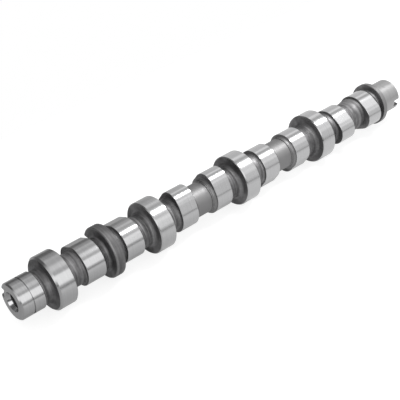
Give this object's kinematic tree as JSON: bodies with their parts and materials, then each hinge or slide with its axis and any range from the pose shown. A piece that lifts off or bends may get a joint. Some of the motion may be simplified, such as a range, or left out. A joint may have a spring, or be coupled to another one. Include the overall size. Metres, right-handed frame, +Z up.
{
  "type": "camshaft",
  "caption": "Cast iron camshaft with ground tunnel journals, cam lobes in pairs, a notched setting collar, a bored nose and a slotted tail.",
  "frame": {"origin": "on the shaft's axis, at the middle of the front journal", "axes": "+X along the shaft from nose to tail, +Z up, +Y towards the first cylinder's lobe tips"},
  "size_m": [0.402, 0.042, 0.042],
  "materials": {
    "ground_iron": "ground on the journals, lobes and ends, as cast on the necks and side faces"
  },
  "bodies": {
    "root": {"camshaft": "ground_iron"}
  },
  "joints": []
}
